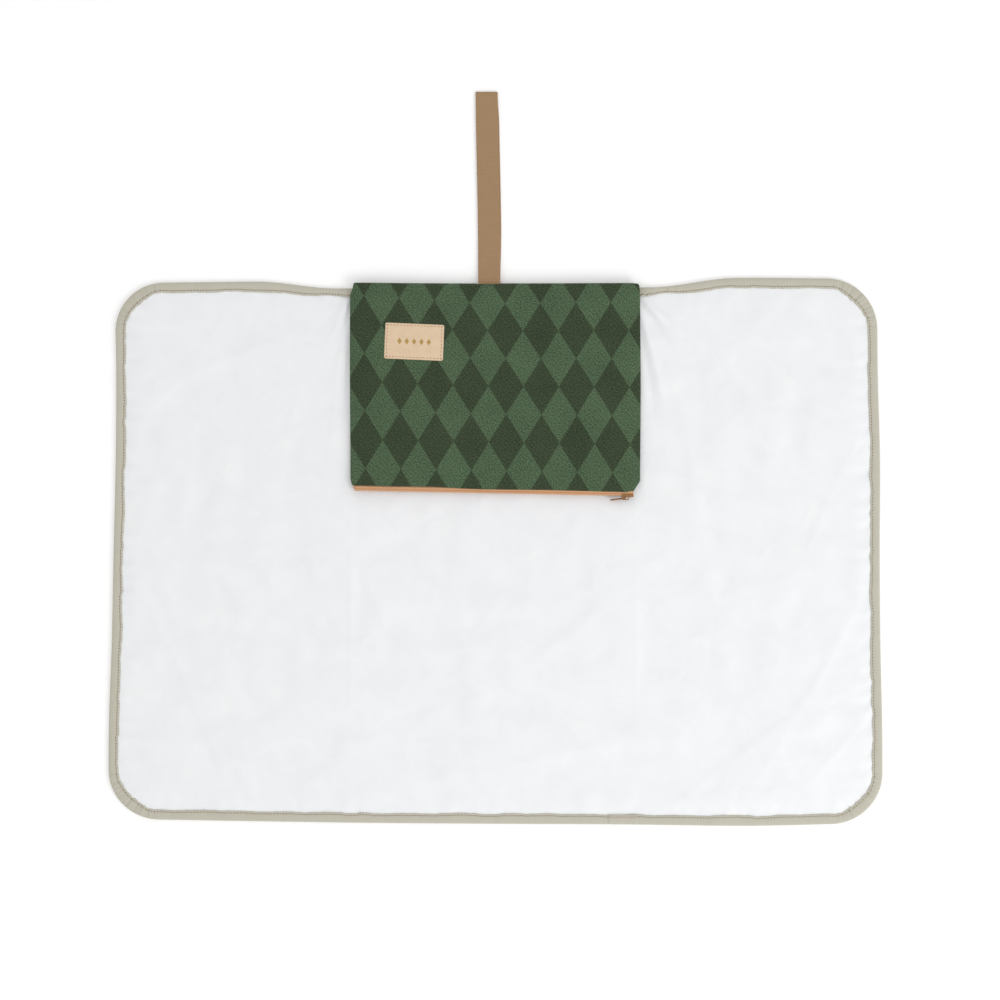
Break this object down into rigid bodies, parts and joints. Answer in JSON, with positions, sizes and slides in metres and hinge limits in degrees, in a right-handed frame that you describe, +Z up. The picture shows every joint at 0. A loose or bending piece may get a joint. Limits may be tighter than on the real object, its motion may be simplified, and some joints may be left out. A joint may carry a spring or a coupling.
{
  "type": "changing pad",
  "caption": "Portable padded changing mat with folding side wings, a flat zipped pouch sewn to its rear edge, a leather label patch and a webbing loop strap.",
  "frame": {"origin": "centre of the mat's flat underside, with the mat laid open", "axes": "+X along the mat's long side, towards the closed end of the zip; +Y from the front edge to the edge with the pouch and strap; +Z up from the underside"},
  "size_m": [0.68, 0.6445, 0.0129],
  "materials": {
    "top_sheet": "coated satin",
    "wadding": "matte",
    "canvas": "matte woven canvas in two greens",
    "binding": "matte woven tape",
    "lining": "matte",
    "webbing": "matte woven webbing",
    "leather": "undyed, smooth",
    "zip_tape": "matte woven tape",
    "zip_coil": "semi-gloss",
    "antique_brass": "satin antique"
  },
  "bodies": {
    "centre": {"mat_back_centre": "canvas", "mat_wadding_centre": "wadding", "mat_top_centre": "top_sheet", "binding_front": "binding", "binding_rear": "binding", "binding_overlap": "binding", "pouch_seam_strip": "canvas", "strap_anchor": "webbing"},
    "left_wing": {"mat_back_left": "canvas", "mat_wadding_left": "wadding", "mat_top_left": "top_sheet", "binding_left": "binding"},
    "right_wing": {"mat_back_right": "canvas", "mat_wadding_right": "wadding", "mat_top_right": "top_sheet", "binding_right": "binding"},
    "pouch": {"pouch_front": "canvas", "pouch_front_lining": "lining", "pouch_back": "canvas", "pouch_back_lining": "lining", "zip_tape_front": "zip_tape", "zip_tape_back": "zip_tape", "zip_coil_front": "zip_coil", "zip_coil_back": "zip_coil", "zip_top_stop_front": "antique_brass", "zip_top_stop_back": "antique_brass", "zip_bottom_stop": "antique_brass", "label_patch": "leather"},
    "slider": {"zip_slider": "antique_brass"},
    "pull": {"zip_pull": "antique_brass"},
    "strap": {"strap_loop": "webbing"}
  },
  "joints": [
    {"name": "left_wing_fold", "type": "hinge", "parent": "centre", "child": "left_wing", "pos_m": [-0.128, 0, 0.0092], "axis": [0, 1, 0], "range_deg": [0, 179.8]},
    {"name": "right_wing_fold", "type": "hinge", "parent": "centre", "child": "right_wing", "pos_m": [0.128, 0, 0.0119], "axis": [0, -1, 0], "range_deg": [0, 179.5]},
    {"name": "pouch_lift", "type": "hinge", "parent": "centre", "child": "pouch", "pos_m": [0.0005, 0.2369, 0.0083], "axis": [-1, 0, 0], "range_deg": [0, 180]},
    {"name": "strap_swing", "type": "hinge", "parent": "centre", "child": "strap", "pos_m": [-0.006, 0.238, 0.0076], "axis": [-1, 0, 0], "range_deg": [-175, 0]},
    {"name": "zip_slide", "type": "slide", "parent": "pouch", "child": "slider", "axis": [-0.9998, 0.0192, 0], "range_m": [0, 0.2285]},
    {"name": "pull_flip", "type": "hinge", "parent": "slider", "child": "pull", "pos_m": [0.11435, 0.04761, 0.0083], "axis": [0, 0, 1], "range_deg": [-8, 162]}
  ]
}
